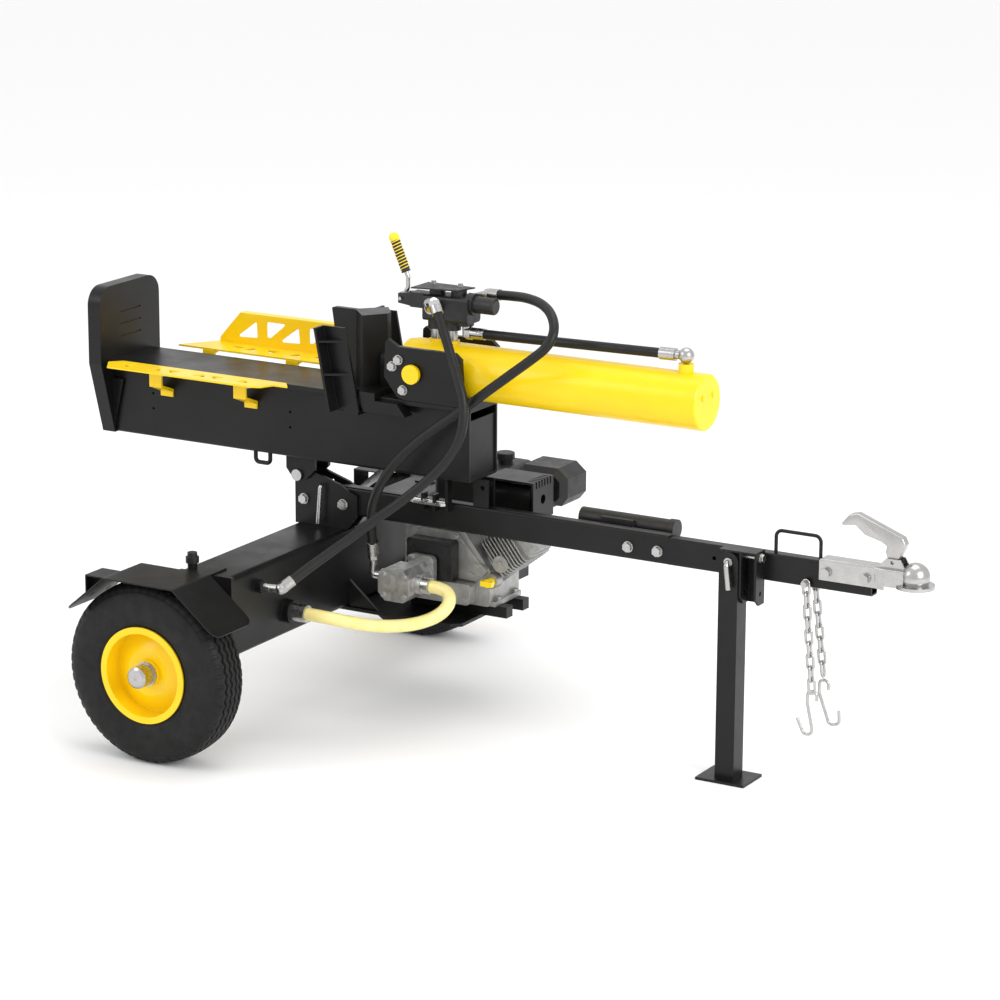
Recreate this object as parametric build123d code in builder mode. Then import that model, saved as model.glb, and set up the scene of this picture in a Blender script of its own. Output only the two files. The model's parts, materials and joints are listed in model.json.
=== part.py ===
from build123d import *
import os
from math import cos, pi, radians, sin, tan

# Towable log splitter. Millimetres, +X towards the hitch, +Z up, the ground at Z = 0.
# Distances along X are given ahead of the wheel axle, which stands at AXLE_X.

AXLE_X = -555.0

# Wheels
TYRE_RADIUS = 207.0
WHEEL_Y = 569.0
TYRE_HALF_WIDTH = 58.0
RIM_RADIUS = 110.0
RIM_SHEET = 4.0
SPINDLE_DIAMETER = 25.0
RUNNING_CLEARANCE = 0.06

# Reservoir, which is also the axle beam
TANK_REAR, TANK_FRONT = 14.0, 154.0
TANK_LOW, TANK_TOP = 236.0, 421.0
TANK_HALF_LENGTH = 486.0
TANK_WALL = 5.0
END_PLATE = 10.0
RETURN_BOSS = (-391.0, 378.0)
SUCTION_BOSS = (-271.0, 290.0)
FILLER_X, FILLER_Y = 36.0, -474.0

# Fenders
FENDER_INNER, FENDER_OUTER = 510.0, 655.0
FENDER_TOP = 427.0
FENDER_SHEET = 3.0

# Hinge tower and tongue
HINGE_X, HINGE_Z = 29.0, 539.0
HINGE_PIN = 20.0
TONGUE_HALF = 15.6
TONGUE_LOW, TONGUE_TOP = 455.0, 521.0
TONGUE_REAR, TONGUE_JOINT, TONGUE_FRONT = 24.0, 982.0, 1468.0
TONGUE_WALL = 4.0
TOWER_PLATE = 8.0
EAR_INNER, EAR_OUTER = 24.6, 34.6

# Beam
BEAM_REAR, BEAM_FRONT = -462.0, 504.0
BEAM_LOW, BEAM_TOP = 586.0, 752.0
BEAM_HALF = 62.4
BEAM_WALL = 6.0
FLANGE_HALF, FLANGE_TOP = 88.0, 764.0
FOOT_THICKNESS, FOOT_TOP, FOOT_HALF = 35.0, 938.0, 119.0
TRAY_TOP, TRAY_SHEET = 772.0, 4.0

# Ram
RAM_Z = 827.0
BARREL_DIAMETER, BARREL_BORE = 125.0, 110.0
BARREL_REAR, BARREL_FRONT = 330.0, 1063.5
ROD_DIAMETER = 50.0
POST_STATIONS = (380.0, 425.0)
POST_FOOT = 894.0

# Engine and pump
SHAFT_X, SHAFT_Z = 345.0, 330.0
PLATE_TOP, RAIL_TOP = 236.0, 262.0

# Coupler, jack and chains
BALL_X, BALL_Z = 1562.0, 509.0
SOCKET_RADIUS = 25.8
JACK_X, JACK_Y, JACK_HALF = 1151.8, -38.9, 22.85
JACK_PIVOT_Z = 497.5
CHAIN_WIRE, CHAIN_PITCH = 6.0, 27.4
CHAIN_BOLT_DIAMETER = 8.0

# Hoses
HOSE_DIAMETER, SUCTION_DIAMETER = 22.0, 30.0


def at(x, y, z):
    """Point given by its distance ahead of the axle."""
    return Vector(AXLE_X + x, y, z)


def side_plane(y):
    """Upright plane along the machine: local x ahead of the axle, local y is height."""
    return Plane(origin=(AXLE_X, y, 0), x_dir=(1, 0, 0), z_dir=(0, -1, 0))


def front_plane(x):
    """Upright plane across the machine: local x is Y, local y is height."""
    return Plane(origin=(AXLE_X + x, 0, 0), x_dir=(0, 1, 0), z_dir=(1, 0, 0))


def top_plane(z):
    """Level plane: local x ahead of the axle, local y is Y."""
    return Plane(origin=(AXLE_X, 0, z), x_dir=(1, 0, 0), z_dir=(0, 0, 1))


def outline(plane, points, corner=0.0):
    """Closed outline of straight edges on a plane, its corners rounded if asked."""
    with BuildSketch(plane) as face:
        Polygon(*points)
        if corner:
            fillet(face.vertices(), radius=corner)
    return face.sketch


def side_plate(points, y_low, y_high, corner=0.0, mode=Mode.ADD):
    """Plate standing along the machine."""
    extrude(outline(side_plane(y_high), points, corner), amount=y_high - y_low, mode=mode)


def front_plate(points, x_low, x_high, corner=0.0, mode=Mode.ADD):
    """Plate standing across the machine."""
    extrude(outline(front_plane(x_low), points, corner), amount=x_high - x_low, mode=mode)


def top_plate(points, z_low, z_high, corner=0.0, mode=Mode.ADD):
    """Level plate."""
    extrude(outline(top_plane(z_low), points, corner), amount=z_high - z_low, mode=mode)


def block(x_span, y_span, z_span, mode=Mode.ADD):
    """Rectangular block between two corners."""
    size = [high - low for low, high in (x_span, y_span, z_span)]
    middle = [(low + high) / 2 for low, high in (x_span, y_span, z_span)]
    with Locations(at(*middle)):
        Box(*size, mode=mode)


def bar(start, end, diameter, mode=Mode.ADD):
    """Round bar from one point to another."""
    run = at(*end) - at(*start)
    with BuildSketch(Plane(origin=at(*start), z_dir=run)) as section:
        Circle(diameter / 2)
    extrude(section.sketch, amount=run.length, mode=mode)


def bent_rod(points, bend, diameter):
    """Round rod along straight runs joined by bends of one radius."""
    with BuildLine() as path:
        FilletPolyline(*[at(*point) for point in points], radius=bend)
    with BuildSketch(Plane(origin=path.line @ 0, z_dir=path.line % 0)) as section:
        Circle(diameter / 2)
    sweep(section.sketch, path=path.line)


def hexagon(start, end, across):
    """Hexagonal nut or bolt head from one point to another."""
    run = at(*end) - at(*start)
    with BuildSketch(Plane(origin=at(*start), z_dir=run)) as section:
        RegularPolygon(radius=across / 2, side_count=6, major_radius=False)
    extrude(section.sketch, amount=run.length)


def bolt(start, end, diameter, mode=Mode.ADD):
    """Bolt with its head at the start, its nut at the end and washers under both."""
    axis = (at(*end) - at(*start)).normalized()
    begin, finish = Vector(*start), Vector(*end)
    head, washer = 0.65 * diameter, 0.18 * diameter
    bar(begin - axis * (head + washer), finish + axis * (head + washer + 2), diameter)
    for face, way in ((begin, -axis), (finish, axis)):
        bar(face, face + way * washer, 2.1 * diameter)
        hexagon(face + way * washer, face + way * (washer + head), 1.6 * diameter)


def cap_screw(surface, way, diameter):
    """Head and washer of a screw standing on a surface."""
    face, out = Vector(*surface), Vector(*way)
    bar(face, face + out * (0.18 * diameter), 2.1 * diameter)
    hexagon(face + out * (0.18 * diameter), face + out * (0.85 * diameter), 1.6 * diameter)


def bend_radii(route):
    """Radius of each bend of a hose, as large as its two runs allow."""
    radii = []
    for before, corner, after in zip(route, route[1:], route[2:]):
        run_in, run_out = corner - before, after - corner
        half_turn = radians(run_in.get_angle(run_out)) / 2
        radii.append(0.45 * min(run_in.length, run_out.length) / tan(half_turn))
    return radii


def hose(points, diameter):
    """Hose along straight runs joined by tangent arcs."""
    route = [at(*point) for point in points]
    radii = bend_radii(route)
    with BuildLine() as path:
        FilletPolyline(*route, radius=radii)
    with BuildSketch(Plane(origin=path.line @ 0, z_dir=path.line % 0)) as section:
        Circle(diameter / 2)
    tube = sweep(section.sketch, path=path.line)
    length = path.wire().length
    print("hose", round(length), "radii", [round(radius) for radius in radii],
          "volume ratio", round(tube.volume / (pi * diameter**2 / 4 * length), 4))


def finish(builder, name):
    """Label a piece and write its file."""
    builder.part.label = name
    export_step(builder.part, f"parts/{name}.step")


os.makedirs("parts", exist_ok=True)

# ---------------------------------------------------------------- reservoir and axle

with BuildPart() as reservoir_tube:
    with BuildSketch(side_plane(TANK_HALF_LENGTH)):
        with Locations(((TANK_REAR + TANK_FRONT) / 2, (TANK_LOW + TANK_TOP) / 2)):
            RectangleRounded(TANK_FRONT - TANK_REAR, TANK_TOP - TANK_LOW, 12)
            RectangleRounded(TANK_FRONT - TANK_REAR - 2 * TANK_WALL,
                             TANK_TOP - TANK_LOW - 2 * TANK_WALL, 7, mode=Mode.SUBTRACT)
    extrude(amount=2 * TANK_HALF_LENGTH)
    for boss, outer, bore in ((RETURN_BOSS, 30, 16), (SUCTION_BOSS, 54, 26)):
        bar((TANK_FRONT - 1, *boss), (TANK_FRONT + 16, *boss), outer)
        bar((TANK_FRONT - TANK_WALL, *boss), (TANK_FRONT + 16, *boss), bore, mode=Mode.SUBTRACT)
    bar((FILLER_X, FILLER_Y, TANK_TOP - 1), (FILLER_X, FILLER_Y, TANK_TOP + 14), 22)
    bar((FILLER_X, FILLER_Y, TANK_TOP - 8), (FILLER_X, FILLER_Y, TANK_TOP + 14), 16, mode=Mode.SUBTRACT)
finish(reservoir_tube, "reservoir_tube")

END_OUTLINE = [(-34, 170), (60, 170), (TANK_FRONT, TANK_LOW), (TANK_FRONT, TANK_TOP),
               (TANK_REAR, TANK_TOP), (TANK_REAR, 300), (-34, 250)]
SPINDLE_STEPS = ((54, 0, 10), (32, 10, 33), (SPINDLE_DIAMETER, 33, 118), (20, 118, 138))

with BuildPart() as axle_end_plates:
    side_plate(END_OUTLINE, TANK_HALF_LENGTH, TANK_HALF_LENGTH + END_PLATE)
    for diameter, inner, outer in SPINDLE_STEPS:
        plate_face = TANK_HALF_LENGTH + END_PLATE
        bar((0, plate_face + inner, TYRE_RADIUS), (0, plate_face + outer, TYRE_RADIUS), diameter)
    mirror(about=Plane.XZ)
finish(axle_end_plates, "axle_end_plates")

FENDER_FOLDS = [(-182, 340), (-78, FENDER_TOP), (107, FENDER_TOP), (220, 334)]

with BuildPart() as fenders:
    with BuildSketch(side_plane(FENDER_OUTER)):
        with BuildLine():
            FilletPolyline(*FENDER_FOLDS, radius=8)
            offset(amount=FENDER_SHEET, side=Side.RIGHT)
        make_face()
    extrude(amount=FENDER_OUTER - FENDER_INNER)
    sheet_edges = fenders.edges().filter_by(GeomType.LINE)
    fillet(sheet_edges.filter_by(lambda edge: edge.length < FENDER_SHEET + 0.1), radius=22)
    for hole_y in (FENDER_INNER + 34, FENDER_INNER + 96):
        bar((-150, hole_y, 352), (-130, hole_y, 400), 9, mode=Mode.SUBTRACT)
    mirror(about=Plane.XZ)
finish(fenders, "fenders")

with BuildPart() as fender_brackets:
    block((56, 104), (440, 600), (TANK_TOP, TANK_TOP + 3))
    block((-173, -109), (525, 590), (402, 405))
    block((-173, -170), (525, 590), (351.5, 402))
    mirror(about=Plane.XZ)
finish(fender_brackets, "fender_brackets")

# ---------------------------------------------------------------- tower and tongue

TOWER_OUTLINE = [(14, TANK_TOP), (14, 549), (22, 555), (44, 555), (72, 546), (136, 526),
                 (150, 518), (182, 505), (182, 457), (TANK_FRONT, TANK_TOP)]
TOWER_BOLTS = ((38.5, 481), (145.3, 481))
TOWER_OUTER = TONGUE_HALF + TOWER_PLATE

with BuildPart() as tower_plates:
    side_plate(TOWER_OUTLINE, TONGUE_HALF, TOWER_OUTER)
    for x, z in TOWER_BOLTS:
        bar((x, TONGUE_HALF - 1, z), (x, TOWER_OUTER + 1, z), 12.6, mode=Mode.SUBTRACT)
    bar((HINGE_X, 0, HINGE_Z), (HINGE_X, 40, HINGE_Z), HINGE_PIN + 0.2, mode=Mode.SUBTRACT)
    bar((92, 0, 522), (92, 40, 522), 9.2, mode=Mode.SUBTRACT)
    mirror(about=Plane.XZ)
finish(tower_plates, "tower_plates")

with BuildPart() as hinge_pin:
    bar((HINGE_X, -36, HINGE_Z), (HINGE_X, 36, HINGE_Z), HINGE_PIN)
    for way in (-1, 1):
        bar((HINGE_X, way * 35.4, HINGE_Z), (HINGE_X, way * 42, HINGE_Z), 27)
finish(hinge_pin, "hinge_pin")

TONGUE_BOLTS = (883.0, 956.0)
TONGUE_BOLT_Z = 483.0
COUPLER_BOLTS = (1364.0, 1455.0)
COUPLER_BOLT_Z = 495.0
CHAIN_BOLT = (1318.6, 465.0)


def tongue_tube(x_low, x_high, half, low, high, corner):
    """Rectangular tube lying along the tongue."""
    with BuildSketch(front_plane(x_low)) as section:
        with Locations((0, (low + high) / 2)):
            RectangleRounded(2 * half, high - low, corner)
            RectangleRounded(2 * (half - TONGUE_WALL), high - low - 2 * TONGUE_WALL,
                             corner / 3, mode=Mode.SUBTRACT)
    extrude(section.sketch, amount=x_high - x_low)


def cross_hole(x, z, half, diameter):
    """Hole right across the machine."""
    bar((x, -half, z), (x, half, z), diameter, mode=Mode.SUBTRACT)


with BuildPart() as tongue_rear:
    tongue_tube(TONGUE_REAR, TONGUE_JOINT, TONGUE_HALF, TONGUE_LOW, TONGUE_TOP, 6)
    for x, z in TOWER_BOLTS:
        cross_hole(x, z, 30, 12.6)
    for x in TONGUE_BOLTS:
        cross_hole(x, TONGUE_BOLT_Z, 30, 12.6)
finish(tongue_rear, "tongue_rear")

TAIL_HALF = TONGUE_HALF - TONGUE_WALL - 0.4

with BuildPart() as tongue_front:
    tongue_tube(TONGUE_JOINT, TONGUE_FRONT, TONGUE_HALF, TONGUE_LOW, TONGUE_TOP - 4, 5)
    tongue_tube(TONGUE_JOINT - 132, TONGUE_JOINT + 20, TAIL_HALF, TONGUE_LOW + 4.4, TONGUE_TOP - 8, 3)
    for x in TONGUE_BOLTS:
        cross_hole(x, TONGUE_BOLT_Z, 30, 12.6)
    for x in COUPLER_BOLTS:
        cross_hole(x, COUPLER_BOLT_Z, 30, 12.6)
    cross_hole(*CHAIN_BOLT, 30, 8.6)
    cross_hole(1094.5, 487, 30, 9)
    bar((JACK_X, -20, JACK_PIVOT_Z), (JACK_X, 0, JACK_PIVOT_Z), 12.8, mode=Mode.SUBTRACT)
    bent_rod([(1235, 0, 516), (1235, 0, 567), (1341, 0, 567), (1341, 0, 516)], 14, 8)
finish(tongue_front, "tongue_front")

COUPLER_OUTLINE = [(1347, -20), (1475, -20), (1502, -27), (1545, -27),
                   (1545, 27), (1502, 27), (1475, 20), (1347, 20)]
COUPLER_INNER = [(1340, -16), (1475, -16), (1502, -23), (1522, -23),
                 (1522, 23), (1502, 23), (1475, 16), (1340, 16)]

with BuildPart() as coupler_body:
    top_plate(COUPLER_OUTLINE, 477, 524)
    fillet(coupler_body.faces().sort_by(Axis.Z)[-1].edges(), radius=4)
    with Locations(at(BALL_X, 0, BALL_Z)):
        Sphere(SOCKET_RADIUS + 5.7)
    bar((BALL_X, 0, 486), (BALL_X, 0, 493), 84)
    block((1500, 1620), (-60, 60), (440, 486), mode=Mode.SUBTRACT)
    top_plate(COUPLER_INNER, 470, 520, mode=Mode.SUBTRACT)
    with Locations(at(BALL_X, 0, BALL_Z)):
        Sphere(SOCKET_RADIUS, mode=Mode.SUBTRACT)
    bar((BALL_X, 0, 480), (BALL_X, 0, BALL_Z), 2 * SOCKET_RADIUS, mode=Mode.SUBTRACT)
    for x in COUPLER_BOLTS:
        cross_hole(x, COUPLER_BOLT_Z, 40, 12.6)
    side_plate([(1480, 523), (1545, 523), (1532, 545), (1500, 545)], 12, 16)
    side_plate([(1480, 523), (1545, 523), (1532, 545), (1500, 545)], -16, -12)
    cross_hole(1514, 537, 30, 8.2)
finish(coupler_body, "coupler_body")

with BuildPart() as jack_bracket:
    for x_low, x_high in ((1175.5, 1180.5), (1212, 1217)):
        front_plate([(-58, 521), (-58, 420), (-42, 404), (-16, 404), (-16, 521)], x_low, x_high)
    block((1180.5, 1212), (-20, -16), (404, 521))
    block((1129, 1217), (-62, -16), (521, 525))
    for z in (430, 510):
        bar((1170, -37, z), (1220, -37, z), 10.4, mode=Mode.SUBTRACT)
finish(jack_bracket, "jack_bracket")

with BuildPart() as frame_bolts:
    for x, z in TOWER_BOLTS:
        bolt((x, -TOWER_OUTER, z), (x, TOWER_OUTER, z), 12)
    for x in TONGUE_BOLTS:
        bolt((x, -TONGUE_HALF, TONGUE_BOLT_Z), (x, TONGUE_HALF, TONGUE_BOLT_Z), 12)
    for x in COUPLER_BOLTS:
        bolt((x, -20, COUPLER_BOLT_Z), (x, 20, COUPLER_BOLT_Z), 12)
    bolt((CHAIN_BOLT[0], -30, CHAIN_BOLT[1]), (CHAIN_BOLT[0], 30, CHAIN_BOLT[1]), CHAIN_BOLT_DIAMETER)
    bar((1176, -37, 510), (1217, -37, 510), 10)
    cap_screw((1217, -37, 510), (1, 0, 0), 10)
    for way in (-1, 1):
        hexagon((0, way * 614.4, TYRE_RADIUS), (0, way * 628, TYRE_RADIUS), 30)
        bar((0, way * 614.4, TYRE_RADIUS), (0, way * 628, TYRE_RADIUS), 20.4, mode=Mode.SUBTRACT)
finish(frame_bolts, "frame_bolts")

CRADLE_REAR, CRADLE_FRONT = 487.0, 526.0

with BuildPart() as beam_cradle:
    side_plate([(CRADLE_REAR, TONGUE_TOP), (CRADLE_FRONT, TONGUE_TOP), (CRADLE_FRONT, 585.4),
                (CRADLE_REAR, 585.4)], TONGUE_HALF - 5, TONGUE_HALF)
    bar((510, 0, 566), (510, 30, 566), 11, mode=Mode.SUBTRACT)
    mirror(about=Plane.XZ)
    block((CRADLE_REAR, CRADLE_REAR + 6), (-TONGUE_HALF, TONGUE_HALF), (TONGUE_TOP, 585.4))
    for x in (362, 392):
        front_plate([(-36, 500), (-TONGUE_HALF, 500), (-TONGUE_HALF, 540), (-36, 540)], x, x + 6)
        bar((x - 1, -26, 522), (x + 7, -26, 522), 12.2, mode=Mode.SUBTRACT)
finish(beam_cradle, "beam_cradle")

# ---------------------------------------------------------------- engine and pump

with BuildPart() as engine_plate:
    top_plate([(60, -20), (430, -20), (450, 0), (450, 250), (430, 270), (60, 270)],
              PLATE_TOP - 8, PLATE_TOP)
    for y in (-14, 256):
        side_plate([(TANK_FRONT, PLATE_TOP), (TANK_FRONT, 300), (230, PLATE_TOP)], y, y + 8)
    for y in (84, 160):
        block((262, 518), (y, y + 28), (PLATE_TOP, RAIL_TOP))
finish(engine_plate, "engine_plate")

CASE_NEAR, CASE_FAR = 66.0, 200.0
CASE_OUTLINE = [(258, RAIL_TOP + 0.3), (484, RAIL_TOP + 0.3), (484, 348), (415, 436), (258, 436)]
COVER_OUTLINE = [(262, 322), (262, 404), (284, 430), (402, 430), (468, 358), (452, 322)]
COVER_SCREWS = ((272, 398), (396, 421), (454, 360), (440, 336))

with BuildPart() as crankcase:
    side_plate(CASE_OUTLINE, CASE_NEAR, CASE_FAR, corner=8)
    side_plate(COVER_OUTLINE, CASE_NEAR - 8, CASE_NEAR + 1, corner=10)
    side_plate([(262, 268), (446, 268), (452, 318), (262, 318)], 34, CASE_NEAR + 1, corner=8)
    block((258, 494), (74, 194), (RAIL_TOP + 0.3, RAIL_TOP + 12))
    bar((450, 133, 342), (478, 133, 364), 92)
    bar((486, CASE_NEAR, 324), (486, 90, 324), 36)
    bar((464, 74, 350), (464, 52, 350), 30)
    for x, z in COVER_SCREWS:
        cap_screw((x, CASE_NEAR - 8, z), (0, -1, 0), 8)
    for x in (276, 434):
        cap_screw((x, 34, 280), (0, -1, 0), 9)
    for y in (98, 174):
        cap_screw((488, y, RAIL_TOP + 12), (0, 0, 1), 9)
finish(crankcase, "crankcase")

HEAD_TILT = 38.0
head_plane = Plane(origin=at(478, 133, 364), x_dir=(sin(radians(HEAD_TILT)), 0, -cos(radians(HEAD_TILT))),
                   z_dir=(cos(radians(HEAD_TILT)), 0, sin(radians(HEAD_TILT))))
FIN_COUNT, FIN_PITCH = 9, 9.0

with BuildPart() as cylinder_head:
    with BuildSketch(head_plane.offset(4)):
        RectangleRounded(84, 92, 14)
    extrude(amount=FIN_COUNT * FIN_PITCH + 18)
    for fin in range(FIN_COUNT):
        with BuildSketch(head_plane.offset(10 + fin * FIN_PITCH)):
            with Locations((-5, 0)):
                RectangleRounded(100, 116, 12)
        extrude(amount=3)
    with BuildSketch(head_plane.offset(20 + FIN_COUNT * FIN_PITCH)):
        RectangleRounded(78, 96, 14)
    extrude(amount=18)
    bar((506, 94, 366), (506, 74, 366), 40)
    bar((506, 76, 366), (506, 70, 366), 16)
finish(cylinder_head, "cylinder_head")

with BuildPart() as blower_housing:
    bar((SHAFT_X, 204, SHAFT_Z), (SHAFT_X, 262, SHAFT_Z), 186)
    block((SHAFT_X, SHAFT_X + 130), (204, 262), (SHAFT_Z - 40, SHAFT_Z + 93))
    bar((SHAFT_X, 262, SHAFT_Z), (SHAFT_X, 296, SHAFT_Z), 160)
    fillet(blower_housing.faces().sort_by(Axis.Y)[-1].edges(), radius=14)
    with BuildSketch(side_plane(300)):
        with PolarLocations((SHAFT_X, SHAFT_Z), 44, 12):
            SlotOverall(34, 8)
    extrude(amount=14, mode=Mode.SUBTRACT)
finish(blower_housing, "blower_housing")

GUARD_REAR, GUARD_FRONT = 470.0, 596.0
GUARD_NEAR, GUARD_FAR = 66.0, 160.0
GUARD_LOW, GUARD_TOP = 478.0, 570.0

with BuildPart() as muffler_guard:
    block((484, 584), (72, 156), (484, 556))
    fillet(muffler_guard.edges().filter_by(Axis.X), radius=20)
    for x in (GUARD_REAR, GUARD_FRONT - 5):
        block((x, x + 5), (GUARD_NEAR, GUARD_FAR), (GUARD_LOW, GUARD_TOP))
    block((GUARD_REAR, GUARD_FRONT), (GUARD_NEAR, GUARD_FAR), (GUARD_TOP - 5, GUARD_TOP))
    block((GUARD_REAR, GUARD_FRONT), (GUARD_NEAR, GUARD_FAR), (GUARD_LOW, GUARD_LOW + 4))
    for slot in range(6):
        y = GUARD_NEAR + 12 + 13 * slot
        block((GUARD_FRONT - 22, GUARD_FRONT + 1), (y, y + 5), (GUARD_TOP - 16, GUARD_TOP + 1), mode=Mode.SUBTRACT)
    bar((GUARD_FRONT - 6, 112, 524), (GUARD_FRONT + 1, 112, 524), 22, mode=Mode.SUBTRACT)
    block((474, 486), (100, 136), (500, 540))
    bar((534, 120, 478), (534, 120, 486), 34)
    block((582, 592), (100, 130), (492, 506))
finish(muffler_guard, "muffler_guard")

with BuildPart() as air_cleaner:
    with BuildSketch(side_plane(300)):
        Polygon((474, 486), (594, 486), (610, 506), (610, 552), (584, 574), (496, 574), (474, 552))
    extrude(amount=112)
    chamfer(air_cleaner.faces().sort_by(Axis.Y)[0].edges(), length=14)
    chamfer(air_cleaner.faces().sort_by(Axis.Y)[-1].edges(), length=10)
    bar((560, 300, 530), (560, 308, 530), 22)
    block((490, 560), (212, 276), (474, 488))
finish(air_cleaner, "air_cleaner")

CAP_X, CAP_Y = 418.0, 250.0
DIPSTICK = (488.0, 324.0)

with BuildPart() as fuel_tank:
    block((286, 462), (140, 320), (470, 556))
    fillet(fuel_tank.edges(), radius=18)
    bar((CAP_X, CAP_Y, 540), (CAP_X, CAP_Y, 566), 34)
    bar((CAP_X, CAP_Y, 520), (CAP_X, CAP_Y, 567), 27, mode=Mode.SUBTRACT)
    for x in (310, 400):
        block((x, x + 24), (180, 200), (436.5, 472))
finish(fuel_tank, "fuel_tank")

PUMP_OUTLINE = [(286, 312), (304, 294), (352, 294), (368, 312), (368, 352), (352, 370), (304, 370), (286, 352)]

FLANGE_X, FLANGE_Z = 336.0, 336.0

with BuildPart() as pump_adapter:
    block((286, 406), (26, 58), (320, 412))
    fillet(pump_adapter.edges().filter_by(Axis.Y), radius=8)
    bar((FLANGE_X, 20, FLANGE_Z + 6), (FLANGE_X, 27, FLANGE_Z + 6), 60)
    for x in (300, 392):
        cap_screw((x, 26, 398), (0, -1, 0), 8)
finish(pump_adapter, "pump_adapter")

with BuildPart() as pump_body:
    side_plate(PUMP_OUTLINE, -100, -30)
    bar((FLANGE_X - 6, -31, FLANGE_Z - 4), (FLANGE_X - 6, 5, FLANGE_Z - 4), 74)
    with BuildSketch(side_plane(20)):
        with Locations((FLANGE_X, FLANGE_Z)):
            RectangleRounded(68, 88, 12)
    extrude(amount=16)
    for x, z in ((300, 308), (354, 308), (300, 356), (354, 356)):
        cap_screw((x, -100, z), (0, -1, 0), 6)
    for x in (FLANGE_X - 25, FLANGE_X + 25):
        for z in (FLANGE_Z - 35, FLANGE_Z + 35):
            cap_screw((x, 4, z), (0, -1, 0), 8)
    bar((366, -62, 332), (384, -62, 332), 44)
    bar((288, -66, 340), (276, -66, 340), 34)
finish(pump_body, "pump_body")

# Routes of the hoses, from port to port
RETURN_ROUTE = [(446, -102, 974), (462, -112, 950), (480, -120, 918), (498, -128, 880), (520, -140, 842),
                (542, -150, 796), (546, -162, 732), (518, -166, 672), (466, -170, 616), (406, -188, 562),
                (350, -226, 514), (302, -274, 468), (262, -322, 430), (229, -366, 396)]
PRESSURE_ROUTE = [(522, 40, 1000), (560, 32, 1003), (608, 10, 1008), (664, -20, 1006), (708, -54, 992),
                  (732, -84, 964), (726, -104, 932), (692, -114, 902), (640, -117, 862), (582, -118, 818),
                  (516, -118, 766), (452, -121, 720), (394, -128, 674), (346, -134, 622), (310, -132, 570),
                  (286, -122, 522), (272, -106, 476), (264, -90, 444), (261, -82, 422)]
SUCTION_ROUTE = [(206, -271, 290), (240, -271, 290), (282, -253, 282), (326, -222, 270), (372, -186, 264),
                 (418, -152, 268), (454, -118, 282), (468, -88, 304), (456, -68, 324), (430, -62, 332),
                 (404, -62, 332)]

with BuildPart() as hose_return:
    hose(RETURN_ROUTE, HOSE_DIAMETER)
finish(hose_return, "hose_return")

with BuildPart() as hose_pressure:
    hose(PRESSURE_ROUTE, HOSE_DIAMETER)
finish(hose_pressure, "hose_pressure")

with BuildPart() as hose_suction:
    hose(SUCTION_ROUTE, SUCTION_DIAMETER)
finish(hose_suction, "hose_suction")


def ferrule(end, toward, diameter, length):
    """Crimped sleeve and nut that carry on in line beyond the end of a hose."""
    tip = Vector(*end)
    onward = (tip - Vector(*toward)).normalized()
    bar(tip, tip + onward * length, 1.2 * diameter)
    hexagon(tip + onward * length, tip + onward * (length + 10), 1.1 * diameter)
    return tip + onward * (length + 10)


with BuildPart() as hose_fittings:
    elbow = ferrule(RETURN_ROUTE[-1], RETURN_ROUTE[-2], HOSE_DIAMETER, 22)
    with Locations(at(*elbow)):
        Sphere(13)
    bar((170, -391, 378), (188, -391, 378), 20)
    bar((186, -391, 378), elbow, 20)
    union_end = ferrule(PRESSURE_ROUTE[-1], PRESSURE_ROUTE[-2], HOSE_DIAMETER, 34)
    with Locations(at(*union_end)):
        Sphere(12)
    bent_rod([union_end, (252, -66, 340), (276, -66, 340)], 8, 18)
    bar((170, -271, 290), (206, -271, 290), 40)
    bar((384, -62, 332), (404, -62, 332), 40)
finish(hose_fittings, "hose_fittings")

with BuildPart() as document_tube:
    bar((728, 58, 516), (960, 58, 516), 42)
    bar((734, 58, 516), (966, 58, 516), 37, mode=Mode.SUBTRACT)
    bar((950, 58, 516), (966, 58, 516), 46)
    block((790, 870), (TONGUE_HALF, 30), (470, 500))
    block((790, 870), (28, 38), (470, 530))
    bar((734, 58, 516), (956, 58, 516), 37, mode=Mode.SUBTRACT)
finish(document_tube, "document_tube")

with BuildPart() as filler_cap:
    bar((FILLER_X, FILLER_Y, TANK_TOP + 14.4), (FILLER_X, FILLER_Y, TANK_TOP + 28), 30)
    bar((FILLER_X, FILLER_Y, TANK_TOP + 28), (FILLER_X, FILLER_Y, TANK_TOP + 38), 22)
    bar((FILLER_X, FILLER_Y, TANK_TOP - 30), (FILLER_X, FILLER_Y, TANK_TOP + 15), 5)
finish(filler_cap, "filler_cap")

with BuildPart() as fuel_cap:
    bar((CAP_X, CAP_Y, 566.4), (CAP_X, CAP_Y, 582), 44)
    bar((CAP_X, CAP_Y, 550), (CAP_X, CAP_Y, 567), 26)
    fillet(fuel_cap.faces().sort_by(Axis.Z)[-1].edges(), radius=3)
finish(fuel_cap, "fuel_cap")

with BuildPart() as dipstick:
    bar((DIPSTICK[0], 65.7, DIPSTICK[1]), (DIPSTICK[0], 46, DIPSTICK[1]), 20)
    block((DIPSTICK[0] - 15, DIPSTICK[0] + 15), (40, 52), (DIPSTICK[1] - 6, DIPSTICK[1] + 6))
finish(dipstick, "dipstick")

with BuildPart() as recoil_handle:
    block((SHAFT_X - 50, SHAFT_X - 14), (300, 316), (SHAFT_Z + 50, SHAFT_Z + 68))
    fillet(recoil_handle.edges().filter_by(Axis.X), radius=6)
finish(recoil_handle, "recoil_handle")

# ---------------------------------------------------------------- splitting beam

EAR_OUTLINE = [(-3, BEAM_LOW + 1), (-3, 552), (16, 528), (34, 524), (52, 530.6), (74, 552.6),
               (74, BEAM_LOW + 1)]
SIDE_HOLES = ((-355, 691), (-355, 655), (27.4, 693), (27.4, 656.6))

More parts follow.
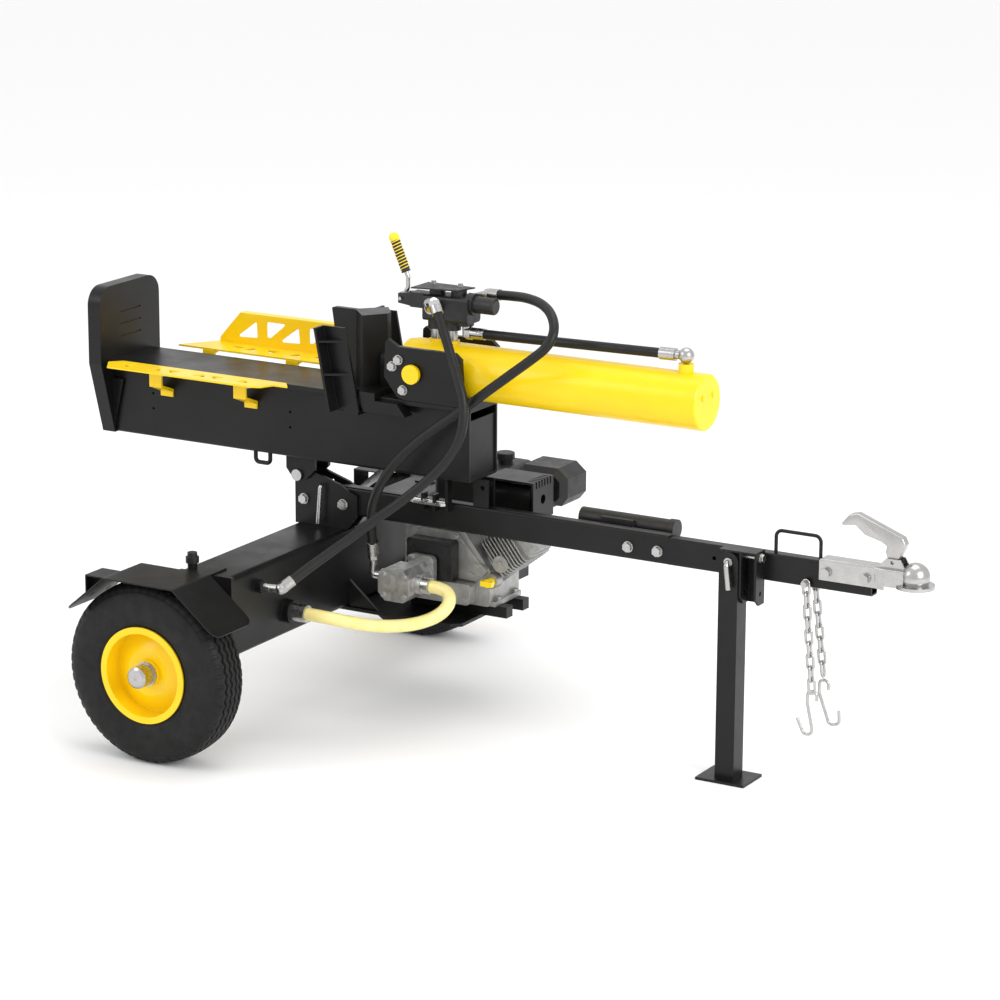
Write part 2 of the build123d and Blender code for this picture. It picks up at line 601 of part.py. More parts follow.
with BuildPart() as beam_box:
    with BuildSketch(front_plane(BEAM_REAR)):
        with Locations((0, (BEAM_LOW + BEAM_TOP) / 2)):
            RectangleRounded(2 * BEAM_HALF, BEAM_TOP - BEAM_LOW, 7)
            RectangleRounded(2 * (BEAM_HALF - BEAM_WALL), BEAM_TOP - BEAM_LOW - 2 * BEAM_WALL,
                             3, mode=Mode.SUBTRACT)
    extrude(amount=BEAM_FRONT - BEAM_REAR)
    for x, z in SIDE_HOLES:
        bar((x, -BEAM_HALF - 2, z), (x, -BEAM_HALF + 10, z), 6, mode=Mode.SUBTRACT)
    inner = BEAM_HALF - BEAM_WALL
    block((BEAM_FRONT - 12, BEAM_FRONT - 4), (-inner, inner), (BEAM_LOW + BEAM_WALL, 726))
    bent_rod([(-72, -57, 590), (-72, -57, 562), (-32, -57, 562), (-32, -57, 590)], 10, 10)
    block((425, 432), (-36, -16.6), (503, BEAM_LOW + 1))
    bar((424, -26, 522), (433, -26, 522), 12.2, mode=Mode.SUBTRACT)
    for low, high in ((-EAR_OUTER, -EAR_INNER), (EAR_INNER, EAR_OUTER)):
        side_plate(EAR_OUTLINE, low, high)
    cross_hole(HINGE_X, HINGE_Z, 40, HINGE_PIN + 2 * RUNNING_CLEARANCE)
finish(beam_box, "beam_box")

with BuildPart() as beam_flange:
    block((BEAM_REAR, BEAM_FRONT), (-FLANGE_HALF, FLANGE_HALF), (BEAM_TOP, FLANGE_TOP))
    chamfer(beam_flange.edges().filter_by(Axis.X), length=1.5)
finish(beam_flange, "beam_flange")

FOOT_OUTLINE = [(-70, BEAM_LOW), (70, BEAM_LOW), (FOOT_HALF, 757), (FOOT_HALF, FOOT_TOP),
                (-FOOT_HALF, FOOT_TOP), (-FOOT_HALF, 757)]

with BuildPart() as foot_plate:
    with BuildSketch(front_plane(BEAM_REAR - FOOT_THICKNESS)) as foot_face:
        Polygon(*FOOT_OUTLINE)
        fillet(foot_face.vertices().group_by(Axis.Y)[-1], radius=44)
    extrude(amount=FOOT_THICKNESS)
    for z in (810, 840, 869):
        block((BEAM_REAR - 2, BEAM_REAR + 1), (-42, 42), (z, z + 4), mode=Mode.SUBTRACT)
    for y in (-BEAM_HALF - 8, BEAM_HALF):
        side_plate([(BEAM_REAR, 600), (BEAM_REAR, 717), (-435, 717)], y, y + 8)
finish(foot_plate, "foot_plate")

STRIPPER_LEAN = tan(radians(11))
STRIPPER_FOOT, STRIPPER_TOP = 729.0, 918.0
STRIPPER_INNER, STRIPPER_OUTER = 107.0, 147.0


def leaning(x, z):
    """Point of the stripper's side outline, whose plates lean back with height."""
    return (x - STRIPPER_LEAN * (z - STRIPPER_FOOT), z)


with BuildPart() as strippers:
    for x_high, y_high in ((245, STRIPPER_INNER + 6), (190, STRIPPER_OUTER)):
        side_plate([leaning(184, STRIPPER_FOOT), leaning(x_high, STRIPPER_FOOT), leaning(x_high, STRIPPER_TOP),
                    leaning(184, STRIPPER_TOP)], STRIPPER_INNER, y_high)
    for z in (810, 884):
        top_plate([(leaning(187, z)[0], STRIPPER_INNER + 3), (leaning(241, z)[0], STRIPPER_INNER + 3),
                   (leaning(187, z)[0], STRIPPER_OUTER - 3)], z, z + 5)
    block((186, 243), (BEAM_HALF, STRIPPER_INNER + 6), (721, 728))
    block((206, 243), (STRIPPER_INNER, STRIPPER_INNER + 6), (727, 732))
    mirror(about=Plane.XZ)
finish(strippers, "strippers")

NEAR_TRAY = [(-405, -108), (-430, -134), (-402, -178), (-8, -178), (18, -168), (32, -137), (70, -137),
             (48, -108)]
TRAY_SLOTS = (-366, -287, -241, -164, -121, -46)


def tray_brackets(side):
    """Two cranked straps from the beam's side up to a tray."""
    for x in (-330, -95):
        legs = [(BEAM_HALF, 690), (BEAM_HALF + 5, 690), (BEAM_HALF + 5, 702), (112, 720),
                (112, TRAY_TOP - TRAY_SHEET), (107, TRAY_TOP - TRAY_SHEET), (107, 725), (BEAM_HALF, 708)]
        front_plate([(side * y, z) for y, z in legs], x, x + 34)
        foot = [(side * 107, 760), (side * 150, 768), (side * 107, 768)]
        front_plate(foot, x, x + 34)


with BuildPart() as tray_near:
    top_plate(NEAR_TRAY, TRAY_TOP - TRAY_SHEET, TRAY_TOP)
    for index, x in enumerate(TRAY_SLOTS):
        way = 1 if index % 2 else -1
        top_plate([(x - 20, -143 - 10 * way), (x + 20, -143 - 10 * way), (x, -143 + 12 * way)],
                  TRAY_TOP - TRAY_SHEET - 1, TRAY_TOP + 1, corner=3, mode=Mode.SUBTRACT)
    tray_brackets(-1)
finish(tray_near, "tray_near")

PANEL_Y = 196.0
FAR_SHELF = [(-400, 108), (60, 108), (60, PANEL_Y), (-337, PANEL_Y), (-357, 170)]
PANEL_OUTLINE = [(-337, TRAY_TOP), (-337, 782), (-279, 847), (60, 847), (60, TRAY_TOP)]
PANEL_OPENINGS = [[(-290, 787), (-232, 830), (-230, 790)],
                  [(-204, 832), (-147, 832), (-193, 794), (-204, 794)],
                  [(-168, 787), (-113, 827), (-110, 789)],
                  [(-84, 829), (-28, 832), (-72, 794), (-84, 792)],
                  [(-46, 787), (10, 827), (12, 789)]]

with BuildPart() as tray_far:
    top_plate(FAR_SHELF, TRAY_TOP - TRAY_SHEET, TRAY_TOP)
    side_plate(PANEL_OUTLINE, PANEL_Y - TRAY_SHEET, PANEL_Y)
    block((-279, 60), (PANEL_Y - TRAY_SHEET, PANEL_Y + 20), (843, 847))
    for opening in PANEL_OPENINGS:
        side_plate(opening, PANEL_Y - TRAY_SHEET - 1, PANEL_Y + 1, corner=3, mode=Mode.SUBTRACT)
    for index, x in enumerate((-260, -218, -161, -91, -27)):
        way = 1 if index % 2 else -1
        top_plate([(x - 20, 150 - 10 * way), (x + 20, 150 - 10 * way), (x, 150 + 12 * way)],
                  TRAY_TOP - TRAY_SHEET - 1, TRAY_TOP + 1, corner=3, mode=Mode.SUBTRACT)
    tray_brackets(1)
finish(tray_far, "tray_far")

CHEEK_OUTLINE = [(350, FLANGE_TOP), (332, 768), (297, 812), (300, 892), (307, 899), (332, 885), (480, 885),
                 (496, 872), (502, FLANGE_TOP)]
TRUNNION = (372.0, RAM_Z)
CHEEK_BOLTS = ((335, 855), (319, 839), (347, 787))

with BuildPart() as cheek_plates:
    side_plate(CHEEK_OUTLINE, 76, FLANGE_HALF)
    bar((TRUNNION[0], 70, TRUNNION[1]), (TRUNNION[0], 95, TRUNNION[1]), 40.6, mode=Mode.SUBTRACT)
    mirror(about=Plane.XZ)
finish(cheek_plates, "cheek_plates")

with BuildPart() as cylinder_barrel:
    bar((BARREL_REAR, 0, RAM_Z), (BARREL_FRONT, 0, RAM_Z), BARREL_DIAMETER)
    bar((BARREL_REAR - 1, 0, RAM_Z), (BARREL_FRONT - 25, 0, RAM_Z), BARREL_BORE, mode=Mode.SUBTRACT)
    for way in (-1, 1):
        bar((TRUNNION[0], way * (BARREL_DIAMETER / 2 - 3), TRUNNION[1]), (TRUNNION[0], way * 100, TRUNNION[1]), 40)
        bar((TRUNNION[0], way * 92, TRUNNION[1]), (TRUNNION[0], way * 100, TRUNNION[1]), 44)
    chamfer(cylinder_barrel.faces().sort_by(Axis.X)[-1].edges(), length=3)
    bar((1010, 0, RAM_Z + 58), (1010, 0, 908), 34)
    for x in POST_STATIONS:
        bar((x, 0, RAM_Z + 58), (x, 0, POST_FOOT), 30)
    for y in (-24, 24):
        bar((BARREL_FRONT, y, RAM_Z + 14), (BARREL_FRONT + 3, y, RAM_Z + 14), 11)
finish(cylinder_barrel, "cylinder_barrel")

GLAND_REAR = BARREL_REAR - 16

with BuildPart() as cylinder_gland:
    bar((GLAND_REAR, 0, RAM_Z), (BARREL_REAR, 0, RAM_Z), BARREL_DIAMETER - 6)
    bar((BARREL_REAR, 0, RAM_Z), (BARREL_REAR + 40, 0, RAM_Z), BARREL_BORE - 0.6)
    bar((GLAND_REAR - 1, 0, RAM_Z), (BARREL_REAR + 41, 0, RAM_Z), ROD_DIAMETER + 2 * RUNNING_CLEARANCE,
        mode=Mode.SUBTRACT)
finish(cylinder_gland, "cylinder_gland")

VALVE_REAR, VALVE_FRONT = 362.0, 478.0
VALVE_LOW, VALVE_TOP = 938.0, 997.0
LEVER_PIVOT = (298.0, 979.0)
RETURN_PORT = (396.0, 973.0)
CYLINDER_HOSE = ((508, 0, 916), (948, 0, 924))

with BuildPart() as valve_body:
    block((VALVE_REAR, VALVE_FRONT), (-30, 30), (VALVE_LOW, VALVE_TOP))
    fillet(valve_body.edges().filter_by(Axis.X), radius=8)
    block((322, VALVE_REAR + 2), (-17, 17), (962, 996))
    bar((VALVE_FRONT - 2, 0, 981), (536, 0, 981), 38)
    fillet(valve_body.faces().sort_by(Axis.X)[-1].edges(), radius=5)
    bar((466, 0, 981), (484, 0, 981), 50)
    bar((RETURN_PORT[0], -28, RETURN_PORT[1]), (RETURN_PORT[0], -44, RETURN_PORT[1]), 36)
    for x in POST_STATIONS:
        bar((x, 0, 918), (x, 0, VALVE_LOW + 2), 36)
    bar((456, 0, 931.5), (456, 0, VALVE_LOW + 2), 40)
    for y in (-13, 13):
        side_plate([(LEVER_PIVOT[0] - 8, 968), (324, 964), (324, 994), (LEVER_PIVOT[0] - 8, 990)], y - 3, y + 3)
    cross_hole(*LEVER_PIVOT, 30, 8.12)
    for x in (384, 440):
        bar((x, 0, VALVE_TOP - 2), (x, 0, 1012), 36)
    top_plate([(342, -46), (452, -24), (466, 27), (344, 27)], 1011, 1014)
finish(valve_body, "valve_body")

with BuildPart() as valve_fittings:
    for x in POST_STATIONS:
        bar((x, 0, POST_FOOT), (x, 0, 918), 22)
    for x in (362, 432):
        cap_screw((x, 20, 1014), (0, 0, 1), 7)
    elbow = (RETURN_PORT[0] + 8, -70, RETURN_PORT[1] + 14)
    bar((RETURN_PORT[0], -44, RETURN_PORT[1]), (RETURN_PORT[0], -54, RETURN_PORT[1]), 28)
    bar((RETURN_PORT[0], -53, RETURN_PORT[1]), elbow, 22)
    with Locations(at(*elbow)):
        Sphere(12)
    bar(elbow, ferrule(RETURN_ROUTE[0], RETURN_ROUTE[1], HOSE_DIAMETER, 20), 20)
    union_end = ferrule(PRESSURE_ROUTE[0], PRESSURE_ROUTE[1], HOSE_DIAMETER, 28)
    bar(union_end, (452, 44, 987), 18)
    bar((452, 30.3, 984), (452, 50, 984), 24)
    bar((474, 0, 915.38), CYLINDER_HOSE[0], 26)
    hexagon((460, 0, 915.13), (474, 0, 915.38), 27)
    bar((460, 0, 906), (460, 0, 931.2), 20)
    bar(CYLINDER_HOSE[1], (985, 0, 924.67), 28)
    bar((985, 0, 924.67), (1010, 0, 925.5), 20)
    with Locations(at(1010, 0, 925.5)):
        Sphere(17.5)
finish(valve_fittings, "valve_fittings")

with BuildPart() as hose_cylinder:
    bar(*CYLINDER_HOSE, 22)
finish(hose_cylinder, "hose_cylinder")

with BuildPart() as beam_bolts:
    for side in (-1, 1):
        for x in (-262, -26):
            cap_screw((x, side * 152, TRAY_TOP - TRAY_SHEET), (0, 0, -1), 8)
        for x, z in CHEEK_BOLTS:
            cap_screw((x, side * FLANGE_HALF, z), (0, side, 0), 11)
finish(beam_bolts, "beam_bolts")

# ---------------------------------------------------------------- wedge and rod

SHOE_GAP = 0.4
SHOE_LOW, SHOE_TOP = FLANGE_TOP + SHOE_GAP, FLANGE_TOP + 11
GIB_INNER, GIB_OUTER, GIB_LOW = FLANGE_HALF + SHOE_GAP, 105.0, 729.0
EDGE_LEAN = 0.143
WEDGE_TOP = 938.0
COLUMN = [(166, 0), (220, -56), (257, -8), (257, 8), (220, 56)]

with BuildPart() as wedge:
    side_plate([(108 + EDGE_LEAN * (WEDGE_TOP - SHOE_LOW), SHOE_LOW), (108, WEDGE_TOP - 2), (114, WEDGE_TOP),
                (240, WEDGE_TOP), (240, SHOE_LOW)], -7, 7)
    top_plate(COLUMN, SHOE_LOW, WEDGE_TOP)
    block((216, 282), (-92, 92), (SHOE_LOW, SHOE_TOP))
    block((250, 282), (-30, 30), (SHOE_LOW, RAM_Z))
    for way in (-1, 1):
        side_plate([(240, 757), (252, GIB_LOW), (362, GIB_LOW), (340, 757), (282, 757), (282, SHOE_TOP),
                    (240, SHOE_TOP)], *sorted((way * GIB_INNER, way * GIB_OUTER)))
        side_plate([(252, GIB_LOW), (362, GIB_LOW), (344, BEAM_TOP - SHOE_GAP), (242, BEAM_TOP - SHOE_GAP)],
                   *sorted((way * 73, way * GIB_OUTER)))
    bar((250, 0, RAM_Z), (296, 0, RAM_Z), 64)
finish(wedge, "wedge")

with BuildPart() as piston_rod:
    bar((296, 0, RAM_Z), (990, 0, RAM_Z), ROD_DIAMETER)
    bar((990, 0, RAM_Z), (1024, 0, RAM_Z), BARREL_BORE - 0.3)
    for x in (998, 1012):
        bar((x, 0, RAM_Z), (x + 4, 0, RAM_Z), BARREL_BORE + 1, mode=Mode.SUBTRACT)
        bar((x - 0.5, 0, RAM_Z), (x + 4.5, 0, RAM_Z), BARREL_BORE - 8)
finish(piston_rod, "piston_rod")

LEVER_KNEE, GRIP_TIP = (307.0, 1026.0), (270.5, 1112.0)

with BuildPart() as valve_lever:
    bar((LEVER_PIVOT[0], -22, LEVER_PIVOT[1]), (LEVER_PIVOT[0], 22, LEVER_PIVOT[1]), 8)
    block((LEVER_PIVOT[0] - 9, LEVER_PIVOT[0] + 9), (-9, 9), (LEVER_PIVOT[1] - 10, LEVER_PIVOT[1] + 12))
    bent_rod([(LEVER_PIVOT[0], 0, LEVER_PIVOT[1] + 8), (LEVER_KNEE[0], 0, 1002),
              (LEVER_KNEE[0], 0, LEVER_KNEE[1]), (GRIP_TIP[0] + 6, 0, GRIP_TIP[1] - 14)], 10, 10)
finish(valve_lever, "valve_lever")

with BuildPart() as lever_grip:
    grip_axis = Vector(GRIP_TIP[0] - LEVER_KNEE[0], 0, GRIP_TIP[1] - LEVER_KNEE[1]).normalized()
    grip_start = Vector(LEVER_KNEE[0], 0, LEVER_KNEE[1]) + grip_axis * 12
    grip_end = Vector(GRIP_TIP[0], 0, GRIP_TIP[1])
    bar(grip_start, grip_end, 22)
    bar(grip_start - grip_axis, grip_end - grip_axis * 8, 10.2, mode=Mode.SUBTRACT)
    with Locations(at(*grip_end)):
        Sphere(12)
finish(lever_grip, "lever_grip")

# ---------------------------------------------------------------- wheels

HUB_RADIUS = 30.0
BARREL_RADIUS = 99.0
WHEEL_AXIS = Axis((AXLE_X, 0, TYRE_RADIUS), (0, 1, 0))


def wheel_plane(middle=0.0):
    """Section plane of the wheels: local x is Y from the middle, local y is the distance from the axle."""
    return Plane(origin=(AXLE_X, middle, TYRE_RADIUS), x_dir=(0, 1, 0), z_dir=(1, 0, 0))


def spin(face):
    """Turn a section once round the axle."""
    revolve(face, axis=WHEEL_AXIS)


def tyre_section():
    """Open tyre section with a flat tread, round shoulders and bulged sides."""
    bead, flat = BARREL_RADIUS + 0.3, TYRE_RADIUS - 2
    with BuildSketch(wheel_plane(WHEEL_Y)) as section:
        with BuildLine():
            Line((-50, bead), (-49.6, RIM_RADIUS + 2))
            Spline((-49.6, RIM_RADIUS + 2), (-TYRE_HALF_WIDTH, 156), (-47, 196), (-36, flat))
            ThreePointArc((-36, flat), (0, TYRE_RADIUS), (36, flat))
            Spline((36, flat), (47, 196), (TYRE_HALF_WIDTH, 156), (49.6, RIM_RADIUS + 2))
            Polyline((49.6, RIM_RADIUS + 2), (50, bead), (40, bead))
            Spline((40, bead), (48, 150), (30, 195), (0, 197), (-30, 195), (-48, 150), (-40, bead))
            Line((-40, bead), (-50, bead))
        make_face()
    return section.sketch


def rim_section():
    """Barrel with two flanges, a dished disc and a hub."""
    inner, outer = WHEEL_Y - 55, WHEEL_Y + 55
    with BuildSketch(wheel_plane()) as section:
        Polygon((inner, BARREL_RADIUS - RIM_SHEET), (outer, BARREL_RADIUS - RIM_SHEET), (outer, RIM_RADIUS),
                (outer - RIM_SHEET, RIM_RADIUS), (outer - RIM_SHEET, BARREL_RADIUS),
                (inner + RIM_SHEET, BARREL_RADIUS), (inner + RIM_SHEET, RIM_RADIUS), (inner, RIM_RADIUS))
        Polygon((592, HUB_RADIUS - 2), (596, HUB_RADIUS - 2), (600, 52), (582, 88), (580, BARREL_RADIUS - 2),
                (576, BARREL_RADIUS - 2), (578, 86), (595, 52))
        Polygon((530, SPINDLE_DIAMETER / 2 + RUNNING_CLEARANCE), (606, SPINDLE_DIAMETER / 2 + RUNNING_CLEARANCE),
                (606, HUB_RADIUS), (530, HUB_RADIUS))
    return section.sketch


def hub_cap_section():
    """Collar and closed cap over the axle nut."""
    with BuildSketch(wheel_plane()) as section:
        Polygon((606, 24.5), (606, 21), (641, 21), (641, 0), (646, 0), (648, 6), (648, 19), (644, 24.5))
        Polygon((606, 21), (606, 28), (611, 28), (611, 21))
    return section.sketch


WHEEL_SIDES = (("near", True), ("far", False))

for side_name, mirrored in WHEEL_SIDES:
    for piece, section in (("tyre", tyre_section()), ("rim", rim_section()), ("hub_cap", hub_cap_section())):
        with BuildPart() as wheel_piece:
            spin(section)
            if mirrored:
                mirror(about=Plane.XZ, mode=Mode.REPLACE)
        finish(wheel_piece, f"{piece}_{side_name}")

# ---------------------------------------------------------------- jack and pins

JACK_FOOT = 6.0
LEG_WALL = 4.0

with BuildPart() as jack_leg:
    leg_x = (JACK_X - JACK_HALF, JACK_X + JACK_HALF)
    leg_y = (JACK_Y - JACK_HALF, JACK_Y + JACK_HALF)
    block(leg_x, leg_y, (JACK_FOOT, JACK_PIVOT_Z))
    bar((JACK_X, leg_y[0], JACK_PIVOT_Z), (JACK_X, leg_y[1], JACK_PIVOT_Z), 2 * JACK_HALF)
    block((leg_x[0] + LEG_WALL, leg_x[1] - LEG_WALL), (leg_y[0] + LEG_WALL, leg_y[1] - LEG_WALL),
          (JACK_FOOT, JACK_PIVOT_Z - 12), mode=Mode.SUBTRACT)
    block((JACK_X - 59, JACK_X + 59), (JACK_Y - 46, JACK_Y + 46), (0, JACK_FOOT))
    bar((JACK_X, leg_y[0] - 1, JACK_PIVOT_Z), (JACK_X, leg_y[1] + 1, JACK_PIVOT_Z), 12.1, mode=Mode.SUBTRACT)
    bar((leg_x[0] - 5, JACK_Y, 417), (leg_x[0] + 1, JACK_Y, 417), 12)
finish(jack_leg, "jack_leg")

with BuildPart() as jack_pin:
    bent_rod([(JACK_X, -12.5, JACK_PIVOT_Z), (JACK_X, -74, JACK_PIVOT_Z), (JACK_X + 8, -76, 440)], 9, 12)
    bar((JACK_X, -62.3, JACK_PIVOT_Z), (JACK_X, -65, JACK_PIVOT_Z), 20)
finish(jack_pin, "jack_pin")

with BuildPart() as beam_latch_pin:
    bar((340, -26, 522), (423.4, -26, 522), 12)
    block((368.6, 373.6), (-40, -17), (516, 528))
    top_plate([(336, -42), (346, -37), (424, -37), (430, -42), (422, -50), (350, -50)], 519, 525)
finish(beam_latch_pin, "beam_latch_pin")

with BuildPart() as upright_lock_pin:
    bent_rod([(92, -16.2, 522), (92, -38, 522), (86, -40, 431)], 8, 9)
finish(upright_lock_pin, "upright_lock_pin")

with BuildPart() as coupler_latch:
    bar((1514, -20, 537), (1514, 20, 537), 8)
    side_plate([(1506, 529), (1522, 529), (1526, 548), (1520, 596), (1416, 626), (1396, 612), (1396, 595),
                (1404, 595), (1412, 612), (1506, 585)], -7, 7)
finish(coupler_latch, "coupler_latch")

# ---------------------------------------------------------------- safety chains


def chain_link(centre, along, across):
    """Oval link lying along one direction, its wide side along another."""
    frame = Plane(origin=centre, x_dir=along, z_dir=along.cross(across))
    half, bend = 9.5, 7.5
    with BuildLine(frame) as loop:
        Line((-half, bend), (half, bend))
        ThreePointArc((half, bend), (half + bend, 0), (half, -bend))
        Line((half, -bend), (-half, -bend))
        ThreePointArc((-half, -bend), (-half - bend, 0), (-half, bend))
    with BuildSketch(Plane(origin=loop.line @ 0, z_dir=loop.line % 0)) as wire:
        Circle(CHAIN_WIRE / 2)
    sweep(wire.sketch, path=loop.line)


def safety_chain(side, bottom, hook_points):
    """Chain of links hanging on one side of its bolt, down to an open hook."""
    bolt_centre, end = at(CHAIN_BOLT[0], side, CHAIN_BOLT[1]), at(*bottom)
    along = (end - bolt_centre).normalized()
    start = bolt_centre - along * 4.5
    count = round((end - start).length / CHAIN_PITCH)
    level = Vector(0, 1, 0)
    for index in range(count):
        across = level if index % 2 else along.cross(level)
        chain_link(start + along * (CHAIN_PITCH * index + 14), along, across)
    bent_rod(hook_points, 11, 7)


with BuildPart() as chain_near:
    safety_chain(-23, (1340, -23, 222),
                 [(1352, -23, 206), (1352, -23, 226), (1330, -23, 226), (1330, -23, 196), (1345, -23, 127),
                  (1322, -23, 127), (1306, -23, 161)])
finish(chain_near, "chain_near")

with BuildPart() as chain_far:
    safety_chain(23, (1346, 23, 240),
                 [(1358, 23, 220), (1358, 23, 240), (1336, 23, 240), (1336, 23, 210), (1362, 23, 140),
                  (1386, 23, 146), (1384, 23, 176)])
finish(chain_far, "chain_far")
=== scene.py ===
"""Visual model of the log splitter: paint for its CAD nodes, detailed hoses, tyres, grip and latch,
and the studio round it."""
import json
import math

import bmesh
import bpy
import numpy as np
from mathutils import Matrix, Vector


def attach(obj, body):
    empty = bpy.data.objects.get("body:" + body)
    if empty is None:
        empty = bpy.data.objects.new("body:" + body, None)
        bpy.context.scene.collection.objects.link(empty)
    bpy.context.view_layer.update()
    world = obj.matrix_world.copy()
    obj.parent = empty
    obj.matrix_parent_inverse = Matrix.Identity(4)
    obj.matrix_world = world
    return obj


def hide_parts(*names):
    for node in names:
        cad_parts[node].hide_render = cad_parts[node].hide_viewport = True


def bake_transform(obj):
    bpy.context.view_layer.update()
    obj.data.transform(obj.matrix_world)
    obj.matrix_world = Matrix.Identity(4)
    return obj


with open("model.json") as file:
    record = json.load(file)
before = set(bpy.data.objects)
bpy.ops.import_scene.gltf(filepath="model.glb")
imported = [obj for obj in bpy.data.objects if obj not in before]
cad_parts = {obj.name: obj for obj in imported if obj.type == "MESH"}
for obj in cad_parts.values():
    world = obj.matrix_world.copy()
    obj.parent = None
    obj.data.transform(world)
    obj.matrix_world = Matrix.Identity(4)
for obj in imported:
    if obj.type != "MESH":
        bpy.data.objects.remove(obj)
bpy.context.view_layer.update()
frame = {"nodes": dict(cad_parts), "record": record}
nodes = frame["nodes"]
slot_of = {part["node"]: part["material_slot"] for part in frame["record"]["subparts"]}

# metres unless a name or comment says otherwise
AXLE_X = -0.555        # where the wheel axle stands in the part's frame
WHEEL_Y = 0.569        # middle of each tyre, out from the centre line
TYRE_RADIUS = 0.207
HOSE_DIAMETER = 0.022
SUCTION_DIAMETER = 0.030


def at(x, y, z):
    """Point in metres, from millimetres ahead of the axle, across and up."""
    return Vector((AXLE_X + x / 1000, y / 1000, z / 1000))


# ---------------------------------------------------------------- camera

CAMERA_PLACE = (3.8951, -6.7810, 2.5973)
CAMERA_AZIMUTH, CAMERA_ELEVATION, CAMERA_ROLL = 29.92, 14.73, 0.27        # degrees
SENSOR_WIDTH_MM, LENS_MM = 36.0, 129.6
VIEW_REACH = 100.0


def make_camera():
    """Camera at the photograph's viewing angle, with a long lens."""
    azimuth, elevation, roll = map(math.radians, (CAMERA_AZIMUTH, CAMERA_ELEVATION, CAMERA_ROLL))
    back = Vector((math.sin(azimuth) * math.cos(elevation), -math.cos(azimuth) * math.cos(elevation),
                   math.sin(elevation)))
    right = Vector((math.cos(azimuth), math.sin(azimuth), 0))
    up = back.cross(right)
    rolled_right = right * math.cos(roll) + up * math.sin(roll)
    rolled_up = up * math.cos(roll) - right * math.sin(roll)
    data = bpy.data.cameras.new("camera")
    data.sensor_width = SENSOR_WIDTH_MM
    data.lens = LENS_MM
    data.clip_end = VIEW_REACH
    camera = bpy.data.objects.new("camera", data)
    turn = Matrix((rolled_right, rolled_up, back)).transposed().to_4x4()
    camera.matrix_world = Matrix.Translation(Vector(CAMERA_PLACE)) @ turn
    bpy.context.collection.objects.link(camera)
    bpy.context.scene.camera = camera


make_camera()


# ---------------------------------------------------------------- mesh helpers

def add_object(name, mesh):
    """New mesh object in the scene."""
    piece = bpy.data.objects.new(name, mesh)
    bpy.context.collection.objects.link(piece)
    return piece


CURVE_STEPS = 14             # steps between a route's control points
ROUND_STEPS = 7              # steps in a quarter of a tube's round section


def smooth(piece, angle=40.0):
    """Smooth shading with creases kept at sharp edges."""
    piece.data.shade_smooth()
    piece.data.set_sharp_from_angle(angle=math.radians(angle))
    return piece


def nurbs_curve(name, points, radius):
    """Open NURBS curve of order 3 through a route's control points."""
    curve = bpy.data.curves.new(name, "CURVE")
    curve.dimensions = "3D"
    spline = curve.splines.new("NURBS")
    spline.points.add(len(points) - 1)
    for control, point in zip(spline.points, points):
        control.co = (*point, 1.0)
    spline.order_u = 3
    spline.use_endpoint_u = True
    curve.resolution_u = CURVE_STEPS
    curve.bevel_depth = radius
    curve.bevel_resolution = ROUND_STEPS
    curve.use_fill_caps = True
    return curve


def curve_mesh(curve):
    """Mesh that a curve makes."""
    carrier = bpy.data.objects.new("carrier", curve)
    bpy.context.collection.objects.link(carrier)
    bpy.context.view_layer.update()
    graph = bpy.context.evaluated_depsgraph_get()
    mesh = bpy.data.meshes.new_from_object(carrier.evaluated_get(graph))
    bpy.data.objects.remove(carrier)
    return mesh


def tube_along(name, points, radius):
    """Mesh tube along a route, and the points of its smooth centreline."""
    centre = curve_mesh(nurbs_curve(name + "_line", points, 0.0))
    path = [tuple(vertex.co) for vertex in centre.vertices]
    piece = add_object(name, curve_mesh(nurbs_curve(name, points, radius)))
    return smooth(piece, 60), path


# ---------------------------------------------------------------- materials

